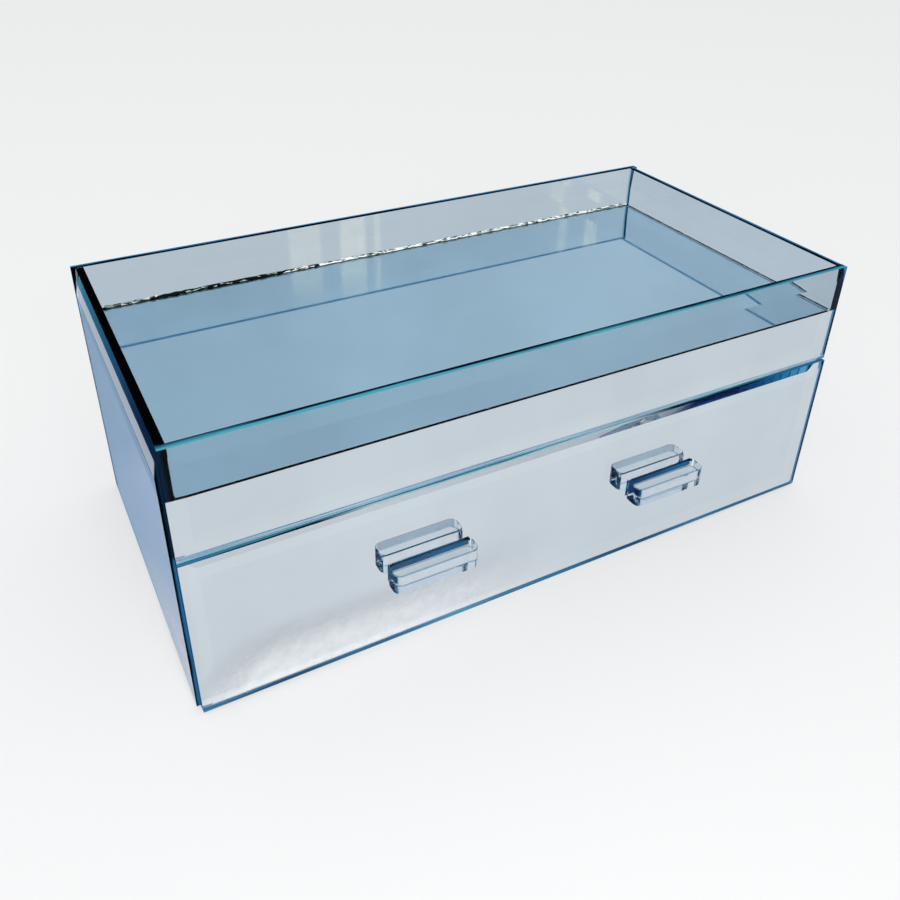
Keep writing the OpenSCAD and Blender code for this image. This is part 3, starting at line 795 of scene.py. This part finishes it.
def build_bead(name, run, size, step, turn, mats, kinds):
    """A bead of glue along +X from the origin, in the corner of a floor and a wall behind it, broken into
    facets about step long, of kinds by place."""
    chance = random.Random(name)
    stations = [0.0]
    while stations[-1] < run - 1.5 * step:
        stations.append(stations[-1] + chance.uniform(0.5, 1.5) * step)
    stations[-1] = run
    rows = []
    for x in stations:
        up, out, bulge = chance.uniform(0.6, 1.0), chance.uniform(0.6, 1.0), chance.uniform(0.32, 0.49)
        profile = [(-AIR, AIR), (-AIR, size * up), (-size * bulge, size * bulge), (-size * out, AIR)]
        rows.append([(x, y, z) for y, z in profile])
    bm = bmesh.new()
    for a, b in zip(rows, rows[1:]):
        for k in range(4):
            j = (k + 1) % 4
            corners = [a[k], b[k], b[j], a[j]]
            for tri in ((0, 1, 2), (0, 2, 3)) if chance.random() < 0.5 else ((0, 1, 3), (1, 2, 3)):
                face(bm, [corners[n] for n in tri], pick_shard(chance, a[k][0] / run, kinds))
    for row in (rows[0], rows[-1]):
        face(bm, row)
    bmesh.ops.transform(bm, matrix=turn, verts=bm.verts)
    bead = new_object(name + "_facets", bm, [mats["bead_dark"], mats["bead_green"], mats["bead_pale_glint"]])
    stand(bead, "case", "adhesive", name)


def build_beads(mats):
    """The beads round the tray, each from the corner where it starts."""
    low, high, size = sizes("rear_bead")
    turn = Matrix.Translation((low[0], high[1], low[2]))
    build_bead("rear_bead", size[0], REAR_BEAD[0] * size[2], REAR_BEAD[1], turn, mats, shard_kind)
    low, high, size = sizes("front_bead")
    turn = Matrix.Translation((high[0], low[1], low[2])) @ spin(180)
    build_bead("front_bead", size[0], FRONT_BEAD[0] * size[2], FRONT_BEAD[1], turn, mats, plain_kind)
    low, _, size = sizes("left_bead")
    turn = Matrix.Translation(low) @ spin(90)
    build_bead("left_bead", size[1], SIDE_BEAD[0] * size[2], SIDE_BEAD[1], turn, mats, plain_kind)
    low, high, size = sizes("right_bead")
    turn = Matrix.Translation((high[0], high[1], low[2])) @ spin(-90)
    build_bead("right_bead", size[1], SIDE_BEAD[0] * size[2], SIDE_BEAD[1], turn, mats, plain_kind)


def stops_along(length, r, step):
    """Places along one side of a slab: close together on its rounded ends, even between them."""
    ends = [r * k for k in (0.0, 0.25, 0.6)]
    count = max(1, round((length - 2 * r) / step))
    middle = [r + (length - 2 * r) * k / count for k in range(count + 1)]
    return ends + middle + [length - e for e in reversed(ends)]


def soft_slab(name, low, high, r, thin, out, swell, mat):
    """A cloth-covered slab with rounded edges. Along the axis thin, its face towards out (1 or -1) swells to
    the middle by swell, with slight dents."""
    size = [b - a for a, b in zip(low, high)]
    cuts = [stops_along(size[k], r, CLOTH_STEP if k != thin else 1.0) for k in range(3)]
    bm = bmesh.new()
    for k in range(3):
        i, j = (k + 1) % 3, (k + 2) % 3
        for end in (0.0, size[k]):
            for a0, a1 in zip(cuts[i], cuts[i][1:]):
                for b0, b1 in zip(cuts[j], cuts[j][1:]):
                    corners = []
                    for a, b in ((a0, b0), (a1, b0), (a1, b1), (a0, b1)):
                        p = [0.0, 0.0, 0.0]
                        p[i], p[j], p[k] = a, b, end
                        corners.append(p)
                    face(bm, corners)
    bmesh.ops.remove_doubles(bm, verts=bm.verts, dist=1e-7)
    for v in bm.verts:
        core = Vector([min(max(c, r), s - r) for c, s in zip(v.co, size)])
        over = v.co - core
        if over.length > 0:
            v.co = core + over * (r / over.length)
        crown = 1.0
        for k in range(3):
            if k != thin:
                crown *= math.sin(math.pi * min(max(v.co[k] / size[k], 0.0), 1.0))
        dent = 0.5 + 0.5 * noise.noise(v.co * 45)
        depth = v.co[thin] / size[thin] if out > 0 else 1 - v.co[thin] / size[thin]
        v.co[thin] -= out * swell * depth * (1 - max(crown, 0.0) ** 0.3 * (1 - 0.35 * dent))
        v.co += Vector(low)
    slab = new_object(name, bm, [mat])
    for polygon in slab.data.polygons:
        polygon.use_smooth = True
    return slab


# Soft pieces: piece, node, body, slot, rounding in mm, thin axis, outward side, swell in mm
SOFT = (
    ("velvet_pad", "lining_floor", "drawer", "velvet", 1.6, 2, 1, 1.1),
    ("velvet_left", "lining_left", "drawer", "velvet", 0.6, 0, 1, 0.35),
    ("velvet_right", "lining_right", "drawer", "velvet", 0.6, 0, -1, 0.35),
    ("velvet_front", "lining_front", "drawer", "velvet", 0.6, 1, 1, 0.35),
    ("velvet_back", "lining_back", "drawer", "velvet", 0.6, 1, -1, 0.35),
    ("felt_foot", "base_felt", "case", "felt", 0.5, 2, -1, 0.0),
    ("felt_glide_left", "left_glide", "case", "felt", 0.4, 2, 1, 0.1),
    ("felt_glide_right", "right_glide", "case", "felt", 0.4, 2, 1, 0.1),
)


def build_soft(mats):
    """The velvet in the drawer, and the felt under the box and the drawer."""
    for name, node, body, slot, r, thin, out, swell in SOFT:
        low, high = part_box(node)
        low, high = [v + AIR for v in low], [v - AIR for v in high]
        slab = soft_slab(name, low, high, r * MM, thin, out, swell * MM, mats[slot])
        stand(slab, body, slot, node)


def build_camera():
    cam = bpy.data.cameras.new("camera")
    cam.lens = CAMERA_LENS
    cam.sensor_width = 36
    cam.shift_x, cam.shift_y = CAMERA_SHIFT
    obj = bpy.data.objects.new("camera", cam)
    obj.location = CAMERA_AT
    obj.rotation_euler = [math.radians(v) for v in CAMERA_TURN]
    bpy.context.scene.collection.objects.link(obj)
    bpy.context.scene.camera = obj


def between(t, value, start, end, soft_in, soft_out, strength=1.0):
    """strength where value lies from start to end, fading in by soft_in and out by soft_out on each side."""
    risen = t.fit(value, start - soft_in[0], start + soft_in[1], 0.0, strength)
    return t.math("MULTIPLY", risen, t.fit(value, end - soft_out[0], end + soft_out[1], 1.0, 0.0))


def build_sky():
    """A pale sky with soft upright streaks, brighter to the right, and dark with bright windows low behind
    the camera, as mirrors and glass see it, and an even one for the light it gives."""
    t = Tree("studio", world=True)
    aim = t.add("TexCoord").outputs["Generated"]
    x, y, z = (t.part(k, aim) for k in range(3))
    tone = t.ramp(t.fit(x, 0.05, 0.65, 0.0, 1.0), [(0.0, SKY_LEFT), (1.0, SKY_RIGHT)])
    streaked = t.add("VectorMath", {0: aim, 1: (7.0, 7.0, 1.2)}, operation="MULTIPLY").outputs[0]
    level = t.fit(t.noise(1.0, 2, where=streaked), 0.35, 0.65, 0.96, 1.04)
    bearing = t.math("ARCTAN2", x, t.math("MULTIPLY", y, -1.0))
    height = t.math("MULTIPLY", t.fit(z, *SKY_DARK_IN, 0.0, 1.0), t.fit(z, *SKY_DARK_OUT, 1.0, 0.0))
    mirrored = t.fit(t.add("LightPath").outputs["Is Camera Ray"], 0.0, 1.0, 1.0, 0.0)
    height = t.math("MULTIPLY", height, mirrored)
    start, end, soft = (math.radians(v) for v in (*SKY_DARK, SKY_DARK_SOFT))
    across = between(t, bearing, start, end, (soft, 0.0), (0.0, soft))
    dark = t.math("MULTIPLY", height, across)
    level = t.math("MULTIPLY", level, t.fit(dark, 0.0, 1.0, 1.0, SKY_BEHIND))
    glow = 0.0
    edge = [math.radians(WINDOW_SOFT)] * 2
    for left, right, strength in WINDOWS:
        window = between(t, bearing, math.radians(left), math.radians(right), edge, edge, strength)
        glow = t.math("ADD", glow, window)
    windows = t.add("Background", {"Color": WINDOW_COLOUR, "Strength": t.math("MULTIPLY", glow, height)})
    sky = t.add("Background", {"Color": tone, "Strength": level})
    seen = t.add("AddShader", {0: sky.outputs[0], 1: windows.outputs[0]})
    lit = t.add("Background", {"Color": SKY_LIGHT, "Strength": 1.0})
    bpy.context.scene.world = t.done(t.blend(t.seen(), lit, seen))


def build_lamps():
    """Area lamps that light things but don't show in mirrors and glass."""
    for name, place, target, size, power in LAMPS:
        lamp = bpy.data.lights.new(name, "AREA")
        lamp.size = size
        lamp.energy = power
        obj = bpy.data.objects.new(name, lamp)
        obj.visible_glossy = obj.visible_transmission = False
        obj.location = place
        obj.rotation_euler = (Vector(target) - Vector(place)).to_track_quat("-Z", "Y").to_euler()
        bpy.context.scene.collection.objects.link(obj)


def flat_sheet(name, outline, z, mat):
    bm = bmesh.new()
    face(bm, [(x, y, z) for x, y in outline])
    sheet = new_object(name, bm, [mat])
    return sheet


def build_stage():
    """Sky, lamps, floor, and a glowing grey card on the floor, a painted shadow that is only seen through
    glass.
    """
    build_sky()
    build_lamps()
    r = FLOOR_REACH
    flat_sheet("floor", [(-r, -r), (r, -r), (r, r), (-r, r)], 0, floor_paint("floor_paint"))
    outline = [(CARD_LEFT_X, CARD_BACK_Y), (CARD_RIGHT_X, CARD_BACK_Y), (CARD_RIGHT_X, CARD_FRONT_Y),
               (CARD_FAR, CARD_FRONT_Y), (CARD_FAR, CARD_FAR), (CARD_LEFT_X, CARD_FAR)]
    card = flat_sheet("painted_shadow_card", outline, CARD_Z, painted_shadow_card("painted_shadow_card"))
    card.visible_camera = card.visible_diffuse = card.visible_glossy = card.visible_shadow = False


def make_materials():
    """All finishes, by name."""
    fascia_back, drawer_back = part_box("front_fascia_pane")[1][1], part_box("drawer_glass")[1][1]
    return {
        "wall_glass": wall_glass("wall_glass"),
        "back_glass": clear_glass("back_glass", WALL_THROUGH, BACK_OUTSIDE, BACK_INSIDE),
        "wall_bevel": dust_and_sky_glass("wall_bevel"),
        "wall_rim": rim_glass("wall_rim"),
        "front_glass": clear_glass("front_glass", FRONT_THROUGH, FRONT_OUTSIDE, FRONT_INSIDE),
        "front_bevel": clear_glass("front_bevel", FRONT_BEVEL_THROUGH, FRONT_BEVEL_OUTSIDE, FRONT_INSIDE),
        "fascia_back": clear_glass("fascia_back", FRONT_THROUGH, FRONT_BACK, FRONT_BACK),
        "drawer_glass": drawer_glass("drawer_glass", FRONT_THROUGH, FRONT_OUTSIDE),
        "drawer_bevel": drawer_glass("drawer_bevel", FRONT_BEVEL_THROUGH, FRONT_BEVEL_OUTSIDE),
        "tray_glass": clear_glass("tray_glass", FRONT_THROUGH, TRAY_OUTSIDE, TRAY_OUTSIDE),
        "pull_glass": clear_glass("pull_glass", PULL_THROUGH, PULL_OUTSIDE, PULL_INSIDE, PULL_SMEAR),
        "pull_arris": clear_glass("pull_arris", ARRIS_THROUGH, PULL_OUTSIDE, PULL_INSIDE, PULL_SMEAR),
        "wall_silver": silver_coat("wall_silver", WALL_SILVER),
        "front_silver": silver_coat("front_silver", FRONT_SILVER),
        "fascia_silver": silver_coat("fascia_silver", FASCIA_SILVER),
        "tray_silver": silver_coat("tray_silver", TRAY_SILVER_SKY_TINT),
        "wall_edge": wall_edge("wall_edge"),
        "fascia_edge": front_edge("fascia_edge", fascia_back, FASCIA_EDGE, FASCIA_LINE, FASCIA_ENDS,
                                  GAP_Z + GAP_MIRROR),
        "drawer_edge": front_edge("drawer_edge", drawer_back, DRAWER_EDGE, DRAWER_LINE, DRAWER_ENDS),
        "tray_edge": tray_edge("tray_edge"),
        "bond": clear_bond("bond", BOND_CLEAR, BOND_CLEAR),
        "glue_shade_line": clear_bond("glue_shade_line", BOND_CLEAR, GLUE_PAINTED_SHADE),
        "end_bond": clear_bond("end_bond", END_BOND, BOND_CLEAR),
        "paint": backing_paint("backing_paint"),
        "board": stained_board("stained_board"),
        "velvet": velvet("velvet"),
        "felt": felt("felt"),
        "bead_dark": glue("bead_dark", (0.001, 0.002, 0.003), (0.004, 0.010, 0.012), 0.05),
        "bead_green": glue("bead_green", (0.10, 0.20, 0.16), (0.48, 0.60, 0.50), 0.3),
        # Pale facets: painted glints of the cut glass
        "bead_pale_glint": glue("bead_pale_glint", (0.80, 0.88, 0.84), (0.98, 0.99, 0.98), 0.5),
    }


# CAD nodes that stay in the picture, by finish
NODE_FINISH = {
    "paint": ("left_silver", "right_silver", "back_silver", "fascia_silver", "tray_silver",
              "drawer_silver"),
    "board": ("tray_board", "left_liner", "right_liner", "rear_liner", "front_rail", "base_board",
              "drawer_front_board", "drawer_left_side", "drawer_right_side", "drawer_back",
              "drawer_bottom"),
    "bond": ("pull_bonds",),
}


def finish_nodes(mats):
    """Puts a finish on every CAD node that stays in the picture."""
    for finish, nodes in NODE_FINISH.items():
        for node in nodes:
            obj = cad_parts[node]
            obj.data.materials.clear()
            obj.data.materials.append(mats[finish])


def set_up_render():
    """Plain colours, and enough bounces for mirrors inside glass."""
    scene = bpy.context.scene
    scene.view_settings.view_transform = "Standard"
    scene.cycles.max_bounces = MIRROR_BOUNCES
    scene.cycles.glossy_bounces = MIRROR_BOUNCES
    scene.cycles.transmission_bounces = MIRROR_BOUNCES
    scene.cycles.transparent_max_bounces = CLEAR_BOUNCES


build_camera()
build_stage()
materials = make_materials()
build_walls(materials)
build_fronts(materials)
build_tray(materials)
for pull_side in ("left", "right"):
    build_pull(pull_side, materials)
build_beads(materials)
build_soft(materials)
finish_nodes(materials)
set_up_render()
